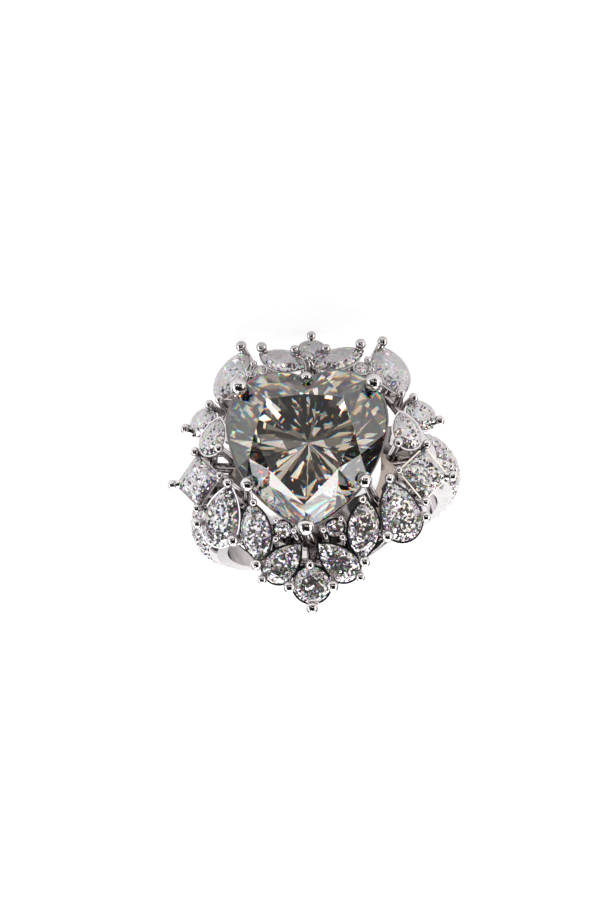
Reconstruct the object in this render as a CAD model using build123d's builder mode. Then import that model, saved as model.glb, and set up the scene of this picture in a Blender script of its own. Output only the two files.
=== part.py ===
import os
from collections import namedtuple
from math import cos, degrees, hypot, radians, sin, sqrt, tan

from build123d import *

# A dress ring in white metal. A large heart stone stands on six prongs over a domed halo of
# twenty-two smaller stones in open collets, and small pavé stones cover the shoulders of the shank.
# The ring is modelled with the head up: X runs across it, Y from the heart's point to its cleft,
# and Z out of the head, with the middle of the finger hole at the origin. At the end it is laid
# down the way a ring like this lies on a table.

# Shank
finger_diameter = 17.3
shank_width = 4.6
shank_thickness = 2.25
shank_side_wall = 0.85
shank_turn = 14.0

# Heart stone
heart_size = 12.0
heart_crown = 1.75
heart_band = 0.2
heart_pavilion = 5.05
culet_gap = 0.8

# Halo: a cone that falls away from the heart
halo_slope = 28.0
halo_drop = 1.95
halo_inner_share = 0.583

# Settings
stone_gap = 0.04
collet_lip = 0.16
collet_ledge = 0.2
collet_depth = 1.9
collet_taper = 0.6
basket_ledge = 0.3
bead_out = 0.24
bead_rise_share = 0.48
claw_wire = 0.6
claw_foot = 0.75
basket_depth = 3.0
basket_taper = 0.8
heart_bead_out = 0.08
rail_wire = 1.1
gallery_height = 1.1
gallery_wall = 1.3
gallery_gap = 0.4
strut_wire = 1.0

# Pavé on the shoulders
pave_size = 1.1
pave_pitch = 1.34
pave_sink = 0.05
pave_rows = (-34.0, 0.0, 34.0)
pave_top = 30.0
pave_panels = (9, 4)
pave_seam = 5.0
groove_gap = 0.04
groove_foot = 0.6

# Sizes that follow from the ones above
finger_radius = finger_diameter / 2
shank_radius = finger_radius + shank_thickness
shank_edge_radius = finger_radius + shank_side_wall
dome_rise = shank_radius - shank_edge_radius
dome_radius = ((shank_width / 2) ** 2 + dome_rise**2) / (2 * dome_rise)
head_height = finger_radius + culet_gap + heart_pavilion
gallery_radius = 0.49 * heart_size
gallery_bottom = finger_radius + gallery_gap
shoulder_width = 0.7 * shank_width
rail_radius = 0.66 * heart_size
rail_drop = 0.25
BASE = (Align.CENTER, Align.CENTER, Align.MIN)

# Cut of a stone: heights above and below the girdle and sizes of table and culet, as shares of its
# width, and the number of facets round it
Cut = namedtuple("Cut", "crown band pavilion table culet facets")
accent_cut = Cut(crown=0.15, band=0.03, pavilion=0.42, table=0.6, culet=0.05, facets=16)
square_cut = Cut(crown=0.15, band=0.03, pavilion=0.42, table=0.62, culet=0.05, facets=8)
pave_cut = Cut(crown=0.15, band=0.02, pavilion=0.42, table=0.6, culet=0.08, facets=8)
heart_cut = Cut(
    crown=heart_crown / heart_size,
    band=heart_band / heart_size,
    pavilion=heart_pavilion / heart_size,
    table=0.62,
    culet=0.02,
    facets=32,
)

# Halo stones of the middle line and the right-hand side. Places and sizes are shares of the heart's
# size; turn is the direction of the stone's tip and lift moves it off the cone, out of its own face.
# Each prong has its place round the girdle, clockwise from the tip, and its bead as a share of the
# heart's size.
Gem = namedtuple("Gem", "name shape across along turn length width lift prongs")
Prong = namedtuple("Prong", "place bead")
middle_gems = (
    Gem("round_top", "round", 0, 0.738, 90, 0.167, 0.167, 0,
        (Prong(0, 0.060), Prong(0.285, 0.061), Prong(0.5, 0.054), Prong(0.715, 0.061))),
    Gem("round_bottom", "round", 0, -0.807, 90, 0.233, 0.233, 0,
        (Prong(0, 0.060), Prong(0.25, 0.080), Prong(0.5, 0.082), Prong(0.75, 0.080))),
)
side_gems = (
    Gem("marquise_top", "marquise", 0.181, 0.660, 33, 0.354, 0.172, 0, (Prong(0.96, 0.072),)),
    Gem("round_inner", "round", 0.331, 0.592, 90, 0.090, 0.090, 0,
        (Prong(0.1, 0.050), Prong(0.33, 0.045))),
    Gem("marquise_cheek", "marquise", 0.511, 0.588, 107, 0.408, 0.220, 0,
        (Prong(0.022, 0.072), Prong(0.525, 0.060))),
    Gem("round_side", "round", 0.712, 0.292, 90, 0.200, 0.200, -0.4,
        (Prong(0.93, 0.064), Prong(0.3, 0.069))),
    Gem("pear_inner", "pear", 0.600, 0.144, 108, 0.250, 0.188, 0.35, (Prong(0.66, 0.067),)),
    Gem("square_side", "square", 0.717, -0.117, 90, 0.233, 0.233, 0,
        (Prong(0, 0.062), Prong(0.25, 0.066), Prong(0.5, 0.062), Prong(0.75, 0.054))),
    Gem("pear_shoulder", "pear", 0.558, -0.363, 115, 0.392, 0.258, 0,
        (Prong(0, 0.069), Prong(0.315, 0.068), Prong(0.662, 0.078))),
    Gem("marquise_low", "marquise", 0.338, -0.488, 90, 0.375, 0.196, 0,
        (Prong(0.97, 0.053), Prong(0.48, 0.076))),
    Gem("round_tip", "round", 0.1625, -0.486, 90, 0.106, 0.106, 0,
        (Prong(0.08, 0.038), Prong(0.38, 0.041), Prong(0.73, 0.041))),
    Gem("pear_low", "pear", 0.167, -0.671, 133, 0.313, 0.196, 0, (Prong(0.47, 0.064),)),
)
# Prongs of the heart, clockwise from its cleft
heart_prongs = (
    Prong(0, 0.076), Prong(0.143, 0.112), Prong(0.355, 0.094),
    Prong(0.5, 0.115), Prong(0.645, 0.094), Prong(0.857, 0.112),
)
# Right half of the heart's outline in three arcs, as shares of its size from its middle
HEART_ARCS = (
    ((0, 0.45), (0.215, 0.5), (0.415, 0.405)),
    ((0.415, 0.405), (0.485, 0.28), (0.5, 0.135)),
    ((0.5, 0.135), (0.335, -0.265), (0, -0.515)),
)


def outline(shape, length, width):
    """Girdle line about the stone's middle, clockwise from its tip on +Y."""
    with BuildLine() as girdle:
        if shape in ("round", "marquise"):
            ThreePointArc((0, length / 2), (width / 2, 0), (0, -length / 2))
            ThreePointArc((0, -length / 2), (-width / 2, 0), (0, length / 2))
        elif shape == "square":
            reach = width / sqrt(2)
            Polyline((0, reach), (reach, 0), (0, -reach), (-reach, 0), close=True)
        elif shape == "pear":
            middle = (width - length) / 2
            reach = length - width / 2
            bow = (width**2 / 4 + reach**2) / width
            belly = sqrt(bow**2 - reach**2 / 4) - (bow - width / 2)
            ThreePointArc((0, length / 2), (belly, middle + reach / 2), (width / 2, middle))
            ThreePointArc((width / 2, middle), (0, -length / 2), (-width / 2, middle))
            ThreePointArc((-width / 2, middle), (-belly, middle + reach / 2), (0, length / 2))
        else:
            for arc in HEART_ARCS:
                ThreePointArc(*[(x * width, y * length) for x, y in arc])
            for arc in reversed(HEART_ARCS):
                ThreePointArc(*[(-x * width, y * length) for x, y in reversed(arc)])
    return Wire(girdle.edges())


def on_girdle(girdle, share):
    """Point at a share of the way round a girdle line, clockwise from its tip."""
    tip = 0.5
    if len(girdle.edges()) > 1:
        tip = girdle.param_at_point(girdle.vertices().sort_by(Axis.Y)[-1])
    return girdle @ ((tip + share) % 1)


def girdle_height(radius):
    """Height of the halo's cone at this distance from the middle of the head."""
    return head_height - halo_drop - (radius - halo_inner_share * heart_size) * tan(radians(halo_slope))


def seat_plane(gem):
    """Plane of a halo stone's girdle, tilted with the cone, its Y axis toward the stone's tip."""
    across, along = gem.across * heart_size, gem.along * heart_size
    radius = hypot(across, along)
    tilt = radians(halo_slope)
    normal = Vector(across / radius * sin(tilt), along / radius * sin(tilt), cos(tilt))
    tip = Vector(cos(radians(gem.turn)), sin(radians(gem.turn)), 0)
    origin = Vector(across, along, girdle_height(radius)) + normal * gem.lift
    return Plane(origin=origin, x_dir=tip.cross(normal), z_dir=normal)


def faceted(seat, corners, levels):
    """Solid with flat facets through scaled copies of the girdle's corners, from the top down."""
    rings = []
    for height, share in levels:
        level = [Vector(corner.X * share, corner.Y * share, height) for corner in corners]
        rings.append([seat.from_local_coords(point) for point in level])
    facets = [rings[0], rings[-1]]
    for upper, lower in zip(rings, rings[1:]):
        for place in range(len(corners)):
            facets.append([upper[place - 1], upper[place], lower[place], lower[place - 1]])
    with BuildPart() as solid:
        add(Solid(Shell([Face(Wire.make_polygon(facet)) for facet in facets])))
    return solid.part


def cut_stone(seat, girdle, size, cut):
    """Stone with a table, crown facets, a thin girdle and pavilion facets down to a small culet."""
    corners = [on_girdle(girdle, step / cut.facets) for step in range(cut.facets)]
    top = ((cut.crown + cut.band) * size, cut.table)
    bottom = (-cut.pavilion * size, cut.culet)
    return faceted(seat, corners, [top, (cut.band * size, 1), (0, 1), bottom])


def pocket(seat, girdle, size, cut, ledge, depth, taper):
    """Room for a stone, with the ledge it rests on and the open shaft below it."""
    corners = [on_girdle(girdle, step / cut.facets) for step in range(cut.facets)]
    wider = 1 + 2 * stone_gap / size
    top = ((cut.crown + cut.band) * size + stone_gap, cut.table * wider)
    ledge_share = 1 - 2 * ledge / size
    ledge_depth = stone_gap + (wider - ledge_share) / wider * cut.pavilion * size
    shaft = [(-ledge_depth, ledge_share), (-depth, ledge_share * taper)]
    return faceted(seat, corners, [top, (cut.band * size, wider), (-stone_gap, wider), *shaft])


def collet(seat, shape, length, width, depth, taper):
    """Tapered wall round a stone's pavilion, before its pocket is cut."""
    with BuildPart() as cone:
        for height, share in ((0, 1), (-depth, taper)):
            with BuildSketch(seat.offset(height)):
                with BuildLine():
                    add(outline(shape, (length + 2 * collet_lip) * share, (width + 2 * collet_lip) * share))
                make_face()
        loft()
    return cone.part


def bead_place(seat, girdle, prong, out):
    """Middle of a prong's bead, outside the girdle and above it."""
    corner = on_girdle(girdle, prong.place)
    middle = corner + corner.normalized() * out
    return seat.from_local_coords(Vector(middle.X, middle.Y, bead_rise_share * prong.bead * heart_size))


def claw(seat, girdle, prong, out, foot):
    """Wire from a foot up to its bead, which leans over the edge of the stone."""
    bead_size = prong.bead * heart_size
    bead = bead_place(seat, girdle, prong, out)
    wire = min(claw_wire, 0.8 * bead_size)
    run = bead - foot(bead)
    with BuildPart(Plane(origin=foot(bead), z_dir=run)) as shape:
        Cone(claw_foot / 2, wire / 2, run.length, align=BASE)
        with Locations((0, 0, run.length)):
            Sphere(bead_size / 2)
    return shape.part


def rail_foot(bead):
    """Point of the halo rail or, for an inner bead, of the gallery, below a bead."""
    reach = hypot(bead.X, bead.Y)
    share = rail_radius / reach
    if reach < rail_radius - rail_wire:
        return gallery_foot(bead)
    return Vector(bead.X * share, bead.Y * share, rail_height)


def gallery_foot(bead):
    """Point of the gallery ring below a bead."""
    share = gallery_radius / hypot(bead.X, bead.Y)
    return Vector(bead.X * share, bead.Y * share, gallery_bottom + gallery_height / 2)


def arm_direction(angle):
    """Unit vector in the shank's plane at an angle above its right-hand arm."""
    level = Vector(cos(radians(shank_turn)), sin(radians(shank_turn)), 0)
    return level * cos(radians(angle)) + Vector(0, 0, sin(radians(angle)))


def resting_plane():
    """Table top under the ring, which lies on its top bead, a cheek bead and the shank's edge."""
    side, down = finger_axis.direction, Vector(0, 1, -0.4).normalized()
    for _ in range(12):
        edge = down - side * down.dot(side)
        touch = [bead + down * radius for bead, radius in resting_beads]
        touch.append(side * (shank_width / 2) + edge.normalized() * shank_edge_radius)
        normal = (touch[1] - touch[0]).cross(touch[2] - touch[0]).normalized()
        down = normal if normal.dot(down) > 0 else normal * -1
    head_out = Vector(0, 0, 1) + down * down.Z * -1
    return Plane(origin=touch[0], x_dir=head_out.cross(down), z_dir=down * -1)


def on_dome(lean, offset, depth):
    """Radius and side place of a point under the domed outside of the shank, in its section."""
    reach, lean = dome_radius - depth, radians(lean)
    out = shank_radius - dome_radius + reach * cos(lean) - offset * sin(lean)
    return out, reach * sin(lean) + offset * cos(lean)


def pave_seat(angle, lean):
    """Plane of a pavé stone's girdle on the domed outside of the shank."""
    out, side = arm_direction(angle), finger_axis.direction
    radius, across = on_dome(lean, 0, pave_sink)
    normal = out * cos(radians(lean)) + side * sin(radians(lean))
    return Plane(origin=out * radius + side * across, x_dir=side.cross(out), z_dir=normal)


def groove(start, end, lean):
    """Channel for one row of pavé stones, from an angle of the shank down to another."""
    out, side = arm_direction(start), finger_axis.direction
    mouth, foot = pave_size / 2 + groove_gap + 2 * pave_sink, groove_foot / 2
    section = ((mouth, -4 * pave_sink), (-mouth, -4 * pave_sink), (-foot, groove_depth), (foot, groove_depth))
    with BuildPart() as channel:
        with BuildSketch(Plane(origin=(0, 0, 0), x_dir=out, z_dir=out.cross(side))):
            with BuildLine():
                Polyline([on_dome(lean, offset, depth) for offset, depth in section], close=True)
            make_face()
        revolve(axis=finger_axis, revolution_arc=start - end)
    return channel.part


finger_axis = Axis((0, 0, 0), Vector(-sin(radians(shank_turn)), cos(radians(shank_turn)), 0))

rail_height = girdle_height(rail_radius) - collet_depth * cos(radians(halo_slope)) - rail_drop

# Heart stone, its basket and its six prongs
heart_seat = Plane.XY.offset(head_height)
heart_girdle = outline("heart", heart_size, heart_size)
stones = {"heart_stone": cut_stone(heart_seat, heart_girdle, heart_size, heart_cut)}
metal = [collet(heart_seat, "heart", heart_size, heart_size, basket_depth, basket_taper)]
pockets = [pocket(heart_seat, heart_girdle, heart_size, heart_cut, basket_ledge, basket_depth, basket_taper)]
for prong in heart_prongs:
    metal.append(claw(heart_seat, heart_girdle, prong, heart_bead_out, gallery_foot))

# Halo stones, collets and prongs of the middle line and the right-hand side
resting_beads = []
for gem in middle_gems + side_gems:
    seat = seat_plane(gem)
    length, width = gem.length * heart_size, gem.width * heart_size
    girdle = outline(gem.shape, length, width)
    cut = square_cut if gem.shape == "square" else accent_cut
    stone = cut_stone(seat, girdle, width, cut)
    if gem in middle_gems:
        stones[gem.name] = stone
    else:
        stones[f"{gem.name}_right"] = stone
        stones[f"{gem.name}_left"] = mirror(stone, about=Plane.YZ)
    pockets.append(pocket(seat, girdle, width, cut, collet_ledge, collet_depth + stone_gap, collet_taper))
    metal.append(collet(seat, gem.shape, length, width, collet_depth, collet_taper))
    for prong in gem.prongs:
        metal.append(claw(seat, girdle, prong, bead_out, rail_foot))
        if gem.name in ("round_top", "marquise_cheek") and prong is gem.prongs[0]:
            bead = bead_place(seat, girdle, prong, bead_out)
            resting_beads.append((Vector(-bead.X, bead.Y, bead.Z), prong.bead * heart_size / 2))

# Halo rail under the collets, gallery ring round the heart's foot and struts between them
with BuildPart() as rail:
    with Locations((0, 0, rail_height)):
        Torus(rail_radius, rail_wire / 2)
with BuildPart(Plane.XY.offset(gallery_bottom)) as gallery:
    Cylinder(gallery_radius + gallery_wall / 2, gallery_height, align=BASE)
    Cylinder(gallery_radius - gallery_wall / 2, gallery_height, align=BASE, mode=Mode.SUBTRACT)
metal += [rail.part, gallery.part]
for turn in range(-90, 91, 45):
    spoke = Vector(cos(radians(turn)), sin(radians(turn)), 0)
    inner = spoke * gallery_radius + Vector(0, 0, gallery_bottom + gallery_height / 2)
    outer = spoke * rail_radius + Vector(0, 0, rail_height)
    with BuildPart(Plane(origin=inner, z_dir=outer - inner)) as strut:
        Cylinder(strut_wire / 2, (outer - inner).length, align=BASE)
    metal.append(strut.part)

# The head is the same on both sides of its middle line
with BuildPart() as head:
    add(metal)
    add(pockets, mode=Mode.SUBTRACT)
    split(bisect_by=Plane.YZ)
    mirror(about=Plane.YZ)

# Shank: a domed band, open under the head, that runs into the gallery ring
with BuildPart() as shank:
    with BuildSketch(Plane.XY.rotated((0, 0, shank_turn))):
        with BuildLine():
            ThreePointArc(
                (shank_edge_radius, -shank_width / 2),
                (shank_radius, 0),
                (shank_edge_radius, shank_width / 2),
            )
            Line((shank_edge_radius, shank_width / 2), (finger_radius, shank_width / 2))
            Line((finger_radius, shank_width / 2), (finger_radius, -shank_width / 2))
            Line((finger_radius, -shank_width / 2), (shank_edge_radius, -shank_width / 2))
        make_face()
    revolve(axis=finger_axis)
    Cylinder(gallery_radius - gallery_wall / 4, 2 * shank_radius, align=BASE, mode=Mode.SUBTRACT)

# Shoulders: a post on each end of the shank, up into the gallery ring
with BuildPart(Plane.XY.rotated((0, 0, shank_turn))) as shoulders:
    with Locations((gallery_radius, 0, 0), (-gallery_radius, 0, 0)):
        Box(gallery_wall, shoulder_width, gallery_bottom + gallery_height / 2, align=BASE)
    Cylinder(finger_radius, 2 * shoulder_width, rotation=(90, 0, 0), mode=Mode.SUBTRACT)

# Pavé of small stones in three channels on the domed shoulders, in two panels on each side
pave_step = degrees(pave_pitch / shank_radius)
pave_round = outline("round", pave_size, pave_size)
pave_stone = cut_stone(Plane.XY, pave_round, pave_size, pave_cut)
groove_depth = pave_sink + pave_cut.pavilion * pave_size + groove_gap
sides = {"pave_right": [], "pave_left": []}
grooves = []
for row, lean in enumerate(pave_rows):
    top = pave_top
    for count in pave_panels:
        end = top - count * pave_step
        grooves.append(groove(top, end, lean))
        grooves.append(groove(180 - end, 180 - top, lean))
        for step in range(count):
            angle = top - (step + 0.5) * pave_step
            sides["pave_right"].append(pave_seat(angle, lean))
            sides["pave_left"].append(pave_seat(180 - angle, lean))
        top = end - pave_seam

with BuildPart() as mounting:
    add(shank)
    add(shoulders)
    add(grooves, mode=Mode.SUBTRACT)
    add(head)

# The whole ring laid on its side, with the origin on the table under the middle of its box
touched = resting_plane()
box = touched.to_local_coords(mounting.part).bounding_box()
middle = touched.from_local_coords(Vector(box.center().X, box.center().Y, box.min.Z))
table = Plane(origin=middle, x_dir=touched.x_dir, z_dir=touched.z_dir)

os.makedirs("parts", exist_ok=True)
pieces = {"mounting": mounting.part, **stones}
for name, places in sides.items():
    with BuildPart(*places) as field:
        add(pave_stone)
    pieces[name] = field.part
for name, piece in pieces.items():
    laid = table.to_local_coords(piece)
    laid.label = name
    export_step(laid, f"parts/{name}.step")

print("table z up", table.z_dir, "head", table.to_local_coords(Vector(0, 0, 1)), "box", box.size)
print("volume", mounting.part.volume, "solids", len(mounting.part.solids()), "pavé a side", len(places))
print("finger hole", table.to_local_coords(Vector(0, 0, 0)), "to", table.to_local_coords(finger_axis.direction))
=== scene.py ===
import bpy
import numpy as np
from mathutils import Matrix


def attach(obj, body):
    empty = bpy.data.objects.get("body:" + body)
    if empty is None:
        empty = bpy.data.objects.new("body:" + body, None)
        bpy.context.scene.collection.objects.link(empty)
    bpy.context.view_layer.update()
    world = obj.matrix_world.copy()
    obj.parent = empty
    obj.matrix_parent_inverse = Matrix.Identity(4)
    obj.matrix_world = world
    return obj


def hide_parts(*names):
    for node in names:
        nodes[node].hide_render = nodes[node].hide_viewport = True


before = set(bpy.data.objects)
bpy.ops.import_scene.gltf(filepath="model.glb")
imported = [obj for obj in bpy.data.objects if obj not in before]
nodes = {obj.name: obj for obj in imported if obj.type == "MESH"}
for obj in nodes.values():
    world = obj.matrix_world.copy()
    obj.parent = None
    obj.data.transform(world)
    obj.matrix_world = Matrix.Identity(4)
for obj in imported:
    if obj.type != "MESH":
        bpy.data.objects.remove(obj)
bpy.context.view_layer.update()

print("frame loaded, nodes:", len(nodes))

# How the ring lies. Its own axes are in millimetres from the middle of the finger hole: x across,
# y from the heart's point to its cleft, z out of the head. The table frame is in metres.
lying = {
    "tableUp": (0.066348, -0.933102, 0.353438),   # in the ring's axes
    "fingerMiddle": (-0.000101618, 0.00314748, 0.00581034),   # in the table frame
    "perMetre": 1000,
}


def ringAxes(up):
    # Rows of the turn from ring axes to table axes: z is up, x is level and square to the head, and
    # y is z cross x.
    z = np.array(up) / np.linalg.norm(up)
    x = np.array((z[1], -z[0], 0)) / np.hypot(z[0], z[1])
    return np.array((x, np.cross(z, x), z))


turn = ringAxes(lying["tableUp"])
headAxis = turn[:, 2]   # out of the head, in table axes


def onTable(points):
    # Ring axes to the table frame: the turned point in metres, plus the middle of the finger hole.
    return np.asarray(points, float) @ turn.T / lying["perMetre"] + np.array(lying["fingerMiddle"])


def addObject(name, data):
    # A new object in the scene, at the origin.
    thing = bpy.data.objects.new(name, data)
    bpy.context.scene.collection.objects.link(thing)
    return thing


# What the camera, the halo and the heart share, in millimetres
head = {
    "heartSize": 12.0,
    "height": 14.5,   # of the foot of the heart's girdle
}

# The camera looks at the head from the side of its point; in millimetres and degrees
cameraPlace = {
    "across": 0.10,   # sideways part of the direction from the head to the camera
    "tilt": 17.0,   # off the square view of the face
    "distance": 200.0,
    "pixelsPerRadian": 2666.0,
    "headPixel": (306.9, 448.5),   # where the head's middle falls in the picture
    "imageSize": (615, 920),
    "sensor": 36.0,
    "clip": (0.01, 10),   # nearest and farthest, in metres
}


def makeCamera(c):
    # The camera stands back from the head's middle along its view line, then moves aside and up in
    # its own plane until the middle falls on its pixel (pixels off the picture's middle over the
    # pixels of a radian, times the distance).
    back = np.array((c["across"], -np.sin(np.radians(c["tilt"])), 0))
    back[2] = np.sqrt(1 - back @ back)
    up = np.array((0, 1.0, 0)) - back[1] * back
    up /= np.linalg.norm(up)
    right = np.cross(up, back)
    width, height = c["imageSize"]
    aside = (c["headPixel"][0] - width / 2) / c["pixelsPerRadian"] * c["distance"]
    above = (height / 2 - c["headPixel"][1]) / c["pixelsPerRadian"] * c["distance"]
    middle = np.array((0, 0, head["height"]))
    data = bpy.data.cameras.new("camera")
    data.sensor_width = c["sensor"]
    data.lens = c["pixelsPerRadian"] / height * c["sensor"]
    data.clip_start, data.clip_end = c["clip"]
    matrix = np.eye(4)
    matrix[:3, :3] = turn @ np.array((right, up, back)).T
    matrix[:3, 3] = onTable(middle + back * c["distance"] - right * aside - up * above)
    camera = addObject("camera", data)
    camera.matrix_world = Matrix(matrix)
    bpy.context.scene.camera = camera


makeCamera(cameraPlace)
print("camera made")


# node materials
def newMaterial(name):
    material = bpy.data.materials.new(name)
    material.use_nodes = True
    tree = material.node_tree
    tree.nodes.clear()
    return material, tree, tree.nodes.new("ShaderNodeOutputMaterial").inputs["Surface"]


def feed(tree, socket, value):
    # Links a socket to the output of another node, or sets a plain value on it.
    if isinstance(value, bpy.types.NodeSocket):
        tree.links.new(value, socket)
    else:
        socket.default_value = value


def addNode(tree, kind, settings=(), **inputs):
    # A node with its settings, fed by the names of its sockets.
    node = tree.nodes.new(kind)
    for key, value in dict(settings).items():
        setattr(node, key, value)
    for key, value in inputs.items():
        feed(tree, node.inputs[key.replace("_", " ")], value)
    return node


def addFed(tree, kind, *values, **settings):
    # A node with its settings, fed in the order of its sockets, where several have the same name.
    node = addNode(tree, kind, settings)
    for socket, value in zip(node.inputs, values):
        feed(tree, socket, value)
    return node


def addNoise(tree, scale, detail):
    # Noise on the piece's own Object coordinates.
    where = addNode(tree, "ShaderNodeTexCoord").outputs["Object"]
    noise = addNode(tree, "ShaderNodeTexNoise", Vector=where, Scale=scale, Detail=detail)
    return noise.outputs["Fac"]


def addRamp(tree, share, low, high, span=(0.0, 1.0)):
    # From the colour low to the colour high while share goes through the span.
    ramp = addNode(tree, "ShaderNodeValToRGB", Fac=share)
    for stop, place, colour in zip(ramp.color_ramp.elements, span, (low, high)):
        stop.position, stop.color = place, (*colour, 1)
    return ramp.outputs["Color"]


def softStep(tree, measure, start, end):
    # From nought to one while measure goes from start to end, eased at both.
    step = addNode(tree, "ShaderNodeMapRange", {"interpolation_type": "SMOOTHSTEP"},
                   Value=measure, From_Min=start, From_Max=end)
    return step.outputs["Result"]


colourA, colourB, colourOut = 6, 7, 2   # where a Mix node keeps its colour sockets


def mixColours(tree, share, first, second):
    # From the colour that first gives to the plain colour second, as share goes from nought to one.
    mix = addNode(tree, "ShaderNodeMix", {"data_type": "RGBA"}, Factor=share)
    feed(tree, mix.inputs[colourA], first)
    feed(tree, mix.inputs[colourB], (*second, 1))
    return mix.outputs[colourOut]


# Cut stones: low and high are the cloud's tints, ior bends the light and spread sets red and blue
# apart, gloss and milk are the shares thrown back and scattered, broken is how far the cells lean.
gemFinish = {
    "every": {
        "cloudScale": 260.0, "cloudDetail": 3.0, "cloudSpan": (0.35, 0.65), "glossRoughness": 0.10,
    },
    "heart": {
        "low": (0.90, 0.882, 0.852), "high": (0.965, 0.952, 0.93), "ior": 2.16, "spread": 0.04,
        "gloss": 0.05, "milk": 0.0, "cells": 900.0, "broken": 0.0,
    },
    "accent": {
        "low": (0.955, 0.94, 0.95), "high": (1.0, 0.988, 0.992), "ior": 2.16, "spread": 0.03,
        "gloss": 0.52, "milk": 0.05, "cells": 6000.0, "broken": 0.74,
    },
    "pave": {
        "low": (0.84, 0.82, 0.84), "high": (1.0, 0.97, 0.98), "ior": 2.16, "spread": 0.02,
        "gloss": 0.50, "milk": 0.10, "cells": 7000.0, "broken": 0.70,
    },
}


def gemMaterial(name, kind):
    # Clear cut stone with a faint cloud. The first face that a ray from the camera meets bends red,
    # green and blue each by its own amount, which gives the fire; inside, one glass carries the
    # light on. That first face is broken up by cells, each leaning off the normal (cell colour less
    # a half, times broken), and throws part of the light back.
    g = gemFinish["every"] | gemFinish[kind]
    material, tree, surface = newMaterial(name)
    cloud = addNoise(tree, g["cloudScale"], g["cloudDetail"])
    tint = addRamp(tree, cloud, g["low"], g["high"], g["cloudSpan"])
    where = addNode(tree, "ShaderNodeTexCoord").outputs["Object"]
    cells = addNode(tree, "ShaderNodeTexVoronoi", Vector=where, Scale=g["cells"])
    lean = addFed(tree, "ShaderNodeVectorMath", cells.outputs["Color"],
                  (g["broken"],) * 3, (-g["broken"] / 2,) * 3, operation="MULTIPLY_ADD")
    face = addNode(tree, "ShaderNodeNewGeometry").outputs["Normal"]
    bent = addFed(tree, "ShaderNodeVectorMath", face, lean.outputs["Vector"], operation="ADD")
    normal = addFed(tree, "ShaderNodeVectorMath", bent.outputs["Vector"],
                    operation="NORMALIZE").outputs["Vector"]
    split = addNode(tree, "ShaderNodeSeparateColor", Color=tint)
    fire = None
    for channel, step in (("Red", -1), ("Green", 0), ("Blue", 1)):
        only = addNode(tree, "ShaderNodeCombineColor", **{channel: split.outputs[channel]})
        glass = addNode(tree, "ShaderNodeBsdfGlass", Color=only.outputs["Color"], Roughness=0.0,
                        IOR=g["ior"] + step * g["spread"], Normal=normal).outputs["BSDF"]
        if fire is None:
            fire = glass
        else:
            fire = addFed(tree, "ShaderNodeAddShader", fire, glass).outputs["Shader"]
    whole = addNode(tree, "ShaderNodeBsdfGlass", Color=tint, Roughness=0.0, IOR=g["ior"])
    seen = addNode(tree, "ShaderNodeLightPath").outputs["Is Camera Ray"]
    clear = addFed(tree, "ShaderNodeMixShader", seen, whole.outputs["BSDF"], fire)
    thrown = addNode(tree, "ShaderNodeBsdfAnisotropic", Color=tint, Roughness=g["glossRoughness"],
                     Normal=normal)
    share = addFed(tree, "ShaderNodeMath", seen, g["gloss"], operation="MULTIPLY")
    glint = addFed(tree, "ShaderNodeMixShader", share.outputs["Value"],
                   clear.outputs["Shader"], thrown.outputs["BSDF"])
    cloudy = addNode(tree, "ShaderNodeBsdfDiffuse", Color=tint)
    stone = addFed(tree, "ShaderNodeMixShader", g["milk"],
                   glint.outputs["Shader"], cloudy.outputs["BSDF"])
    tree.links.new(stone.outputs["Shader"], surface)
    return material


# Rhodium plate; each shade pair gives where painted shade is full and where it is bare, in metres
metalFinish = {
    "low": (0.76, 0.73, 0.73),
    "high": (0.90, 0.87, 0.87),
    "patchScale": 900.0, "patchDetail": 3.0, "patchSpan": (0.3, 0.7),
    "smooth": 0.04,
    "worn": 0.13,
    "wearScale": 2200.0, "wearDetail": 4.0, "wearSpan": (0.35, 0.75),
    "bump": 0.05, "bumpDepth": 0.00002,
    # painted shade in the head's hollow: its dark tone, then the heights, floor and radii where it
    # fades
    "paintedShadeTone": (0.20, 0.175, 0.165),
    "paintedShadeHeights": (0.0096, 0.0112),
    "paintedShadeFloor": (0.0076, 0.0060),
    "paintedShadeRadii": (0.0078, 0.0096),
}


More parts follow.
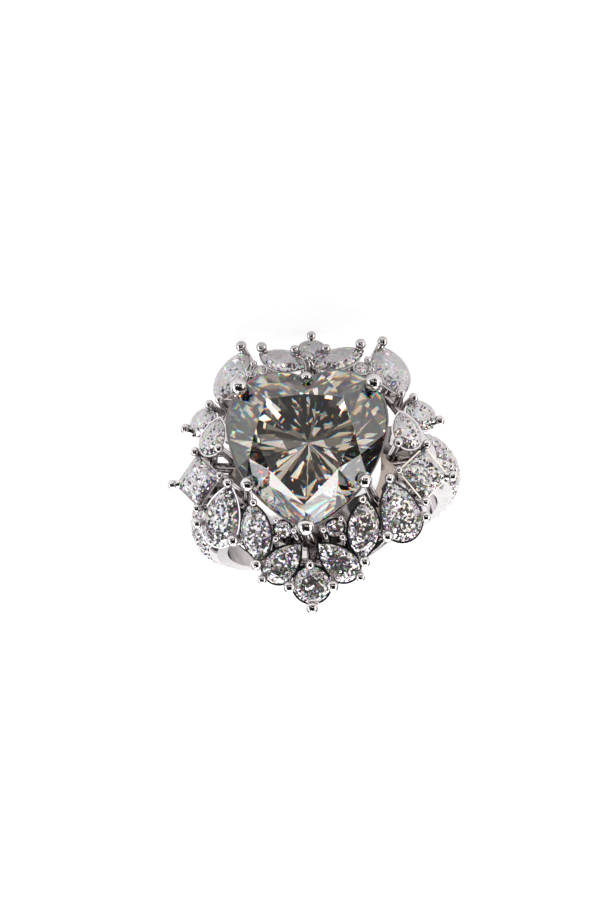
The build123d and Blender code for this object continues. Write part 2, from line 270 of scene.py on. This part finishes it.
def metalMaterial(name, m):
    # Polished rhodium plate: slight patches of tone, finely worn gloss and a faint cast ripple.
    # Shade is painted dark into the hollow of the head, above the shank and below the stones, by
    # the height along the head's axis (dot product of the place from the finger's middle with the
    # axis) and the distance from that axis.
    material, tree, surface = newMaterial(name)
    patches = addNoise(tree, m["patchScale"], m["patchDetail"])
    tone = addRamp(tree, patches, m["low"], m["high"], m["patchSpan"])
    wear = addNoise(tree, m["wearScale"], m["wearDetail"])
    gloss = addRamp(tree, wear, (m["smooth"],) * 3, (m["worn"],) * 3, m["wearSpan"])
    ripple = addNode(tree, "ShaderNodeBump", Strength=m["bump"], Distance=m["bumpDepth"],
                     Height=wear)
    where = addNode(tree, "ShaderNodeTexCoord").outputs["Object"]
    place = addFed(tree, "ShaderNodeVectorMath", where, lying["fingerMiddle"],
                   operation="SUBTRACT").outputs["Vector"]
    along = addFed(tree, "ShaderNodeVectorMath", place, headAxis, operation="PROJECT")
    aside = addFed(tree, "ShaderNodeVectorMath", place, along.outputs["Vector"],
                   operation="DISTANCE").outputs["Value"]
    height = addFed(tree, "ShaderNodeVectorMath", place, headAxis,
                    operation="DOT_PRODUCT").outputs["Value"]
    under, over, within = (
        softStep(tree, measure, bare, dark) for measure, (dark, bare) in
        ((height, m["paintedShadeHeights"]), (height, m["paintedShadeFloor"]), (aside, m["paintedShadeRadii"])))
    # share of painted shade: low along the head's axis, above the floor and near the axis
    paintedShade = addFed(tree, "ShaderNodeMath", under, over, operation="MULTIPLY")
    paintedShade = addFed(tree, "ShaderNodeMath", paintedShade.outputs["Value"], within, operation="MULTIPLY")
    # the metal's tone with the painted shade mixed in
    shade = mixColours(tree, paintedShade.outputs["Value"], tone, m["paintedShadeTone"])
    shader = addNode(tree, "ShaderNodeBsdfPrincipled", Metallic=1.0, Base_Color=shade,
                     Roughness=gloss, Normal=ripple.outputs["Normal"])
    tree.links.new(shader.outputs["BSDF"], surface)
    return material


rhodium = metalMaterial("rhodium", metalFinish)
heartGlass = gemMaterial("heartGlass", "heart")
accentGlass = gemMaterial("accentGlass", "accent")
paveGlass = gemMaterial("paveGlass", "pave")
print("materials made")


# girdle outlines, clockwise from the tip on +Y
def arcThrough(a, b, c, count=48):
    # Circle through three points: its middle has equal distances to them, and the angle runs from
    # a past b to c.
    a, b, c = (np.array(p, float) for p in (a, b, c))
    system = 2 * np.array((b - a, c - a))
    middle = np.linalg.solve(system, np.array((b @ b - a @ a, c @ c - a @ a)))
    start, past, stop = (np.arctan2(*(p - middle)[::-1]) for p in (a, b, c))
    sweep = (stop - start) % (2 * np.pi)
    if (past - start) % (2 * np.pi) > sweep:
        sweep -= 2 * np.pi
    angle = start + np.linspace(0, 1, count) * sweep
    return middle + np.linalg.norm(a - middle) * np.stack((np.cos(angle), np.sin(angle)), 1)


# the heart's right half from cleft to point, in shares of its size: start, a place between and end
heartArcs = (
    ((0, 0.45), (0.215, 0.5), (0.415, 0.405)),
    ((0.415, 0.405), (0.485, 0.28), (0.5, 0.135)),
    ((0.5, 0.135), (0.335, -0.265), (0, -0.515)),
)


def halfOutline(shape, length, width):
    # Right half of the girdle line, from the tip on +Y down to the foot on -Y. A pear's side is an
    # arc of radius bow that runs on smoothly into its round end; rounds and marquises are one arc.
    if shape == "square":
        reach = width / np.sqrt(2)
        return np.array(((0, reach), (reach, 0), (0, -reach)))
    if shape == "pear":
        middle, reach = (width - length) / 2, length - width / 2
        bow = (width**2 / 4 + reach**2) / width
        belly = np.sqrt(bow**2 - reach**2 / 4) - (bow - width / 2)
        side = arcThrough((0, length / 2), (belly, middle + reach / 2), (width / 2, middle))
        low = width / 2 * np.sqrt(0.5)   # halfway round the round end
        end = arcThrough((width / 2, middle), (low, middle - low), (0, -length / 2))
        return np.vstack((side, end[1:]))
    if shape == "heart":
        arcs = np.array(heartArcs) * (width, length)
        return np.vstack([arcThrough(*arc)[i > 0:] for i, arc in enumerate(arcs)])
    return arcThrough((0, length / 2), (width / 2, 0), (0, -length / 2))


def girdlePoints(shape, length, width, count):
    # count points evenly spaced along the outline, by the running sum of its chords.
    half = halfOutline(shape, length, width)
    whole = np.vstack((half, half[-2::-1] * (-1, 1)))
    run = np.concatenate(((0,), np.cumsum(np.linalg.norm(np.diff(whole, axis=0), axis=1))))
    at = np.arange(count) / count * run[-1]
    return np.stack((np.interp(at, run, whole[:, 0]), np.interp(at, run, whole[:, 1])), 1)


def alongMain(points, start, stop):
    # Share of the way from start to stop at which each point lies, measured along that line.
    line = stop - start
    return np.sum((points - start) * line, 1) / np.sum(line * line, 1)


def brilliant(girdle, mains, halves, cut, width, culet=(0, 0)):
    # Brilliant cut over any girdle line. Rings of points: table (main corners scaled by the table
    # share), star feet (half corners scaled by the star share), girdle top and foot, pavilion knees
    # (share of the way from culet to half corner) and culet. A star foot or a knee lies as high as
    # its two main facets do there, by the mean of its shares of the way along them.
    culet = np.array(culet, float)
    count, edge = len(girdle), np.arange(len(girdle))
    crown, band, pavilion = (cut[k] * width for k in ("crown", "band", "pavilion"))
    corner, between = girdle[mains], girdle[halves]
    table = corner * np.reshape(cut["table"], (-1, 1))
    star = between * np.reshape(cut["star"], (-1, 1))
    down = (alongMain(star, table, corner)
            + alongMain(star, np.roll(table, -1, 0), np.roll(corner, -1, 0))) / 2
    knee = culet + (between - culet) * np.reshape(cut["knee"], (-1, 1))
    rise = (alongMain(knee, culet, corner) + alongMain(knee, culet, np.roll(corner, -1, 0))) / 2
    rings = [
        np.column_stack((table, np.full(len(mains), crown + band))),
        np.column_stack((star, band + crown * (1 - down))),
        np.column_stack((girdle, np.full(count, band))),
        np.column_stack((girdle, np.zeros(count))),
        np.column_stack((knee, -pavilion * (1 - rise))),
        np.array(((*culet, -pavilion),)),
    ]
    first = np.cumsum([0] + [len(ring) for ring in rings])
    t, s, upper, lower, k, c = (np.arange(len(ring)) + at for ring, at in zip(rings, first))
    nextMain = np.roll(t, -1)
    owner = np.searchsorted(mains, edge, side="right") - 1   # the half facet of each girdle edge
    after = (edge + 1) % count
    faces = [t[::-1].tolist()]                                       # table
    triangles = [
        (nextMain, t, s),                                            # stars
        (t, upper[mains], s), (t, np.roll(s, 1), upper[mains]),      # crown mains
        (s[owner], upper[edge], upper[after]),                       # crown halves
        (upper[edge], lower[edge], lower[after]),                    # girdle
        (upper[edge], lower[after], upper[after]),
        (lower[edge], k[owner], lower[after]),                       # pavilion halves
        (np.full(len(mains), c[0]), k, lower[mains]),                # pavilion mains
        (np.full(len(mains), c[0]), lower[mains], np.roll(k, 1)),
    ]
    for group in triangles:
        faces += np.stack(group, 1).tolist()
    return np.vstack(rings), faces


def makePiece(name, points, faces, material, smooth=False):
    mesh = bpy.data.meshes.new(name)
    mesh.from_pydata(points.tolist(), [], faces)
    mesh.polygons.foreach_set("use_smooth", np.full(len(mesh.polygons), smooth))
    mesh.materials.append(material)
    mesh.update()
    piece = addObject(name, mesh)
    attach(piece, "root")
    return piece


def facingOut(points, faces):
    # Turns over each face whose normal (cross product of two edges) points back at the middle.
    middle = points.mean(0)
    first, second, third = (points[[face[corner] for face in faces]] for corner in range(3))
    outward = np.sum(np.cross(second - first, third - first) * (first - middle), 1) > 0
    return [face if out else face[::-1] for face, out in zip(faces, outward)]


# Halo stones on a cone that falls away from the heart. Each stone has its shape, its place across
# and along, the turn of its tip in degrees, its length and width, and its lift off the cone in
# millimetres; places and sizes are shares of the heart's size, and cuts are shares of the width.
halo = {
    "drop": 1.95,   # from the heart's girdle down to the cone, in millimetres
    "innerShare": 0.583,   # radius at which the cone starts
    "slope": 28.0,   # degrees
    "girdle": {"round": 16, "square": 16, "pear": 24, "marquise": 24},   # corners of each shape
    "cut": {
        "crown": 0.15, "band": 0.03, "pavilion": 0.42, "table": 0.6, "star": 0.79, "knee": 0.22,
    },
    "squareCut": {
        "crown": 0.15, "band": 0.03, "pavilion": 0.42, "table": 0.62, "star": 0.82, "knee": 0.3,
    },
    "middle": {
        "round_top": ("round", 0, 0.738, 90, 0.167, 0.167, 0),
        "round_bottom": ("round", 0, -0.807, 90, 0.233, 0.233, 0),
    },
    "sides": {
        "marquise_top": ("marquise", 0.181, 0.660, 33, 0.354, 0.172, 0),
        "round_inner": ("round", 0.331, 0.592, 90, 0.090, 0.090, 0),
        "marquise_cheek": ("marquise", 0.511, 0.588, 107, 0.408, 0.220, 0),
        "round_side": ("round", 0.712, 0.292, 90, 0.200, 0.200, -0.4),
        "pear_inner": ("pear", 0.600, 0.144, 108, 0.250, 0.188, 0.35),
        "square_side": ("square", 0.717, -0.117, 90, 0.233, 0.233, 0),
        "pear_shoulder": ("pear", 0.558, -0.363, 115, 0.392, 0.258, 0),
        "marquise_low": ("marquise", 0.338, -0.488, 90, 0.375, 0.196, 0),
        "round_tip": ("round", 0.1625, -0.486, 90, 0.106, 0.106, 0),
        "pear_low": ("pear", 0.167, -0.671, 133, 0.313, 0.196, 0),
    },
}


def seatOnCone(across, along, turnOf, lift, h):
    # Middle and axes of a halo stone: z is the cone's normal there and y points to the stone's tip.
    x, y = across * head["heartSize"], along * head["heartSize"]
    radius, tilt = np.hypot(x, y), np.radians(h["slope"])
    normal = np.array((x / radius * np.sin(tilt), y / radius * np.sin(tilt), np.cos(tilt)))
    fall = (radius - h["innerShare"] * head["heartSize"]) * np.tan(tilt)
    middle = np.array((x, y, head["height"] - h["drop"] - fall)) + normal * lift
    tip = np.array((np.cos(np.radians(turnOf)), np.sin(np.radians(turnOf)), 0))
    right = np.cross(tip, normal)
    right /= np.linalg.norm(right)
    return middle, np.array((right, np.cross(normal, right), normal))


def makeHaloStone(name, stone, h, side=1):
    shape, across, along, turnOf, length, width, lift = stone
    if side < 0:   # mirror image
        across, turnOf = -across, 180 - turnOf
    count = h["girdle"][shape]
    cut = h["squareCut"] if shape == "square" else h["cut"]
    length, width = length * head["heartSize"], width * head["heartSize"]
    girdle = girdlePoints(shape, length, width, count)
    points, faces = brilliant(girdle, np.arange(0, count, 2), np.arange(1, count, 2), cut, width)
    middle, axes = seatOnCone(across, along, turnOf, lift, h)
    points = onTable(points @ axes + middle)
    piece = makePiece(name + "_cut", points, facingOut(points, faces), accentGlass)
    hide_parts(name)


for name, stone in halo["middle"].items():
    makeHaloStone(name, stone, halo)
for name, stone in halo["sides"].items():
    makeHaloStone(name + "_right", stone, halo)
    makeHaloStone(name + "_left", stone, halo, -1)
print("halo stones cut")

# The heart: eight main facets above and below, with a wide, short kite at the point; cuts are
# shares of its size, with one share for each facet
heart = {
    "corners": 32,
    "mains": (0, 4, 8, 12, 16, 20, 24, 28),   # corners of the girdle on the main facets
    "halves": (2, 6, 10, 13, 19, 22, 26, 30),   # and between the half facets
    "culet": (0.0, 0.8),   # the lowest point, in millimetres off the girdle's middle
    "cut": {
        "crown": 0.146, "band": 0.0167, "pavilion": 0.42,
        "table": (0.68, 0.64, 0.64, 0.66, 0.80, 0.66, 0.64, 0.64),
        "star": (0.80, 0.81, 0.81, 0.84, 0.84, 0.81, 0.81, 0.80),
        "knee": (0.22, 0.24, 0.30, 0.66, 0.66, 0.30, 0.24, 0.22),
    },
}


def makeHeart(h):
    size = head["heartSize"]
    girdle = girdlePoints("heart", size, size, h["corners"])
    mains, halves = np.array(h["mains"]), np.array(h["halves"])
    points, faces = brilliant(girdle, mains, halves, h["cut"], size, h["culet"])
    points = onTable(points + (0, 0, head["height"]))
    piece = makePiece("heart_stone_cut", points, facingOut(points, faces), heartGlass)
    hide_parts("heart_stone")


makeHeart(heart)
print("heart cut")

# Bright-cut grains between the pavé stones, raised from the domed shoulders; in millimetres and
# degrees
grains = {
    "shankTurn": 14.0,   # of the shank about the head's axis
    "shankRadius": 10.9,
    "domeRadius": 2.59,
    "pitch": 1.34,   # from stone to stone along the shank
    "top": 30.0,   # where the first panel starts, over the level of the finger's middle
    "panels": (9, 4),   # stones along each panel
    "seam": 5.0,   # bare metal between two panels
    "leans": (-46.0, -17.0, 17.0, 46.0),   # of each row of grains over the dome
    "sizes": (0.40, 0.54, 0.54, 0.40),   # grain diameters, row by row
    "sunk": 0.04,
    "around": 10,   # corners of a grain round its axis and from pole to pole
    "rings": 5,
}


def grainShape(g):
    # Unit ball on a grid of turn and height angle (cosine of both, cosine and sine, sine of the
    # height), with a point at each pole.
    turnBy, rise = np.meshgrid(np.arange(g["around"]) / g["around"] * 2 * np.pi,
                               np.linspace(-np.pi / 2, np.pi / 2, g["rings"] + 2)[1:-1])
    flat = np.cos(rise)
    grid = np.stack((flat * np.cos(turnBy), flat * np.sin(turnBy), np.sin(rise)), -1)
    points = np.vstack((grid.reshape(-1, 3), (0, 0, -1), (0, 0, 1)))
    ring = np.arange(g["around"])
    after = np.roll(ring, -1)
    faces = []
    for level in range(g["rings"] - 1):
        low, high = level * g["around"], (level + 1) * g["around"]
        faces += np.stack((low + ring, low + after, high + after, high + ring), 1).tolist()
    foot, crest = len(points) - 2, len(points) - 1
    last = (g["rings"] - 1) * g["around"]
    faces += np.stack((after, ring, np.full_like(ring, foot)), 1).tolist()
    faces += np.stack((last + ring, last + after, np.full_like(ring, crest)), 1).tolist()
    return points, faces


def makeGrains(name, g, side):
    # Copies of the ball on the dome at the corners between the stones: out from the finger's axis
    # by the shank's radius less the dome's, then along the leaning normal by the dome's radius
    # less the sunk part.
    step = np.degrees(g["pitch"] / g["shankRadius"])
    angles, top = [], g["top"]
    for count in g["panels"]:
        angles += [top - i * step for i in range(count + 1)]
        top -= count * step + g["seam"]
    angle, lean = (a.ravel() for a in np.meshgrid(np.radians(angles), np.radians(g["leans"])))
    size = np.repeat(g["sizes"], len(angles))[:, None, None]
    if side < 0:
        angle = np.pi - angle
    level = np.array((np.cos(np.radians(g["shankTurn"])), np.sin(np.radians(g["shankTurn"])), 0))
    axis = np.array((-level[1], level[0], 0))
    out = np.cos(angle)[:, None] * level + np.sin(angle)[:, None] * (0, 0, 1.0)
    normal = np.cos(lean)[:, None] * out + np.sin(lean)[:, None] * axis
    middles = out * (g["shankRadius"] - g["domeRadius"]) + normal * (g["domeRadius"] - g["sunk"])
    ball, faces = grainShape(g)
    points = (middles[:, None] + ball * size / 2).reshape(-1, 3)
    allFaces = [[i + n * len(ball) for i in face] for n in range(len(middles)) for face in faces]
    makePiece(name, onTable(points), allFaces, rhodium, smooth=True)


makeGrains("pave_grains_right", grains, 1)
makeGrains("pave_grains_left", grains, -1)
print("pavé grains made")


# finishes of the nodes that stay
def dress(name, material):
    for slot in nodes[name].material_slots:
        slot.material = material


dress("mounting", rhodium)
for name in ("pave_right", "pave_left"):
    dress(name, paveGlass)

# White floor with a slight mottle, which glows a little and turns grey in the distance; in metres
floorFinish = {
    "size": 6.0,
    "tone": (0.86, 0.86, 0.865),
    "mottle": 0.01,   # how much darker the mottle is
    "mottleScale": 30.0, "mottleDetail": 2.0,
    "farTone": (0.30, 0.30, 0.31),
    "farSpan": (0.10, 0.22),   # distances at which the grey starts and is full
    "roughness": 0.9,
    "glow": (0.26, 0.75),   # for the light on the metal and stones, and for the camera
}


def makeFloor(f):
    # Flat square at the table's height.
    half = f["size"] / 2
    corners = [(-half, -half, 0), (half, -half, 0), (half, half, 0), (-half, half, 0)]
    mesh = bpy.data.meshes.new("floor")
    mesh.from_pydata(corners, [], [(0, 1, 2, 3)])
    floor = addObject("floor", mesh)
    material, tree, surface = newMaterial("floorPaint")
    mottle = addNoise(tree, f["mottleScale"], f["mottleDetail"])
    tone = addRamp(tree, mottle, [c - f["mottle"] for c in f["tone"]], f["tone"])
    where = addNode(tree, "ShaderNodeTexCoord").outputs["Object"]
    away = addFed(tree, "ShaderNodeVectorMath", where, operation="LENGTH").outputs["Value"]
    paint = mixColours(tree, softStep(tree, away, *f["farSpan"]), tone, f["farTone"])
    seen = addNode(tree, "ShaderNodeLightPath").outputs["Is Camera Ray"]
    glow = addNode(tree, "ShaderNodeMapRange", Value=seen, To_Min=f["glow"][0], To_Max=f["glow"][1])
    shader = addNode(tree, "ShaderNodeBsdfPrincipled", Roughness=f["roughness"], Base_Color=paint,
                     Emission_Color=paint, Emission_Strength=glow.outputs["Result"])
    tree.links.new(shader.outputs["BSDF"], surface)
    mesh.materials.append(material)


# Dark room with soft panels, each with its direction, its half width and soft edge in degrees, and
# its light
room = {
    "tone": (0.035, 0.033, 0.034),
    "panels": (
        {"toward": (0.0, -0.99, 0.05), "half": 18.0, "edge": 6.0, "light": (0.26, 0.25, 0.24)},
        {"toward": (0.0, -0.87, 0.48), "half": 8.0, "edge": 3.0, "light": (0.85, 0.76, 0.64)},
        {"toward": (-0.93, -0.30, 0.22), "half": 20.0, "edge": 4.0, "light": (1.5, 1.4, 1.25)},
        {"toward": (0.93, -0.30, 0.22), "half": 20.0, "edge": 4.0, "light": (1.4, 1.4, 1.5)},
        {"toward": (0.0, 0.73, 0.68), "half": 36.0, "edge": 6.0, "light": (1.15, 1.11, 1.11)},
        {"toward": (0.0, -0.39, 0.92), "half": 27.0, "edge": 5.0, "light": (0.01, 0.01, 0.012)},
    ),
}


def makeRoom(r):
    # A panel gives its light where the direction lies within its half width, by the cosine between
    # the two, and fades over its edge into the panels before it.
    world = bpy.data.worlds.new("room")
    bpy.context.scene.world = world
    world.use_nodes = True
    tree = world.node_tree
    tree.nodes.clear()
    direction = addNode(tree, "ShaderNodeTexCoord").outputs["Generated"]
    light = addNode(tree, "ShaderNodeRGB").outputs["Color"]
    light.default_value = (*r["tone"], 1)
    for panel in r["panels"]:
        toward = np.array(panel["toward"]) / np.linalg.norm(panel["toward"])
        near = addFed(tree, "ShaderNodeVectorMath", direction, toward, operation="DOT_PRODUCT")
        inside, outside = np.cos(np.radians((panel["half"], panel["half"] + panel["edge"])))
        share = softStep(tree, near.outputs["Value"], outside, inside)
        light = mixColours(tree, share, light, panel["light"])
    backdrop = addNode(tree, "ShaderNodeBackground", Color=light, Strength=1.0)
    output = tree.nodes.new("ShaderNodeOutputWorld")
    tree.links.new(backdrop.outputs["Background"], output.inputs["Surface"])


# Soft boxes behind and beside the ring, and three small lamps for sparkle; in metres and watts
lamps = {
    "backBox": {"place": (0.05, 0.70, 0.85), "size": (1.3, 0.8), "power": 5.5},
    "leftBox": {"place": (-0.95, 0.15, 0.65), "size": (0.6, 0.6), "power": 2.6},
    "rightBox": {"place": (0.95, 0.15, 0.65), "size": (0.6, 0.6), "power": 2.6},
    "sparkLeft": {"place": (-0.45, -0.75, 0.50), "size": (0.05, 0.05), "power": 0.16},
    "sparkRight": {"place": (0.40, -0.80, 0.30), "size": (0.05, 0.05), "power": 0.16},
    "sparkTop": {"place": (0.30, -0.12, 0.95), "size": (0.05, 0.05), "power": 0.16},
}


def makeLamp(name, lamp):
    # A rectangle of light that faces the ring.
    data = bpy.data.lights.new(name, "AREA")
    data.shape = "RECTANGLE"
    data.size, data.size_y = lamp["size"]
    data.energy = lamp["power"]
    box = addObject(name, data)
    box.location = lamp["place"]
    box.rotation_euler = (-box.location).to_track_quat("-Z", "Y").to_euler()


makeFloor(floorFinish)
makeRoom(room)
for name, lamp in lamps.items():
    makeLamp(name, lamp)
bpy.context.scene.view_settings.view_transform = "Standard"
print("floor and lights made")
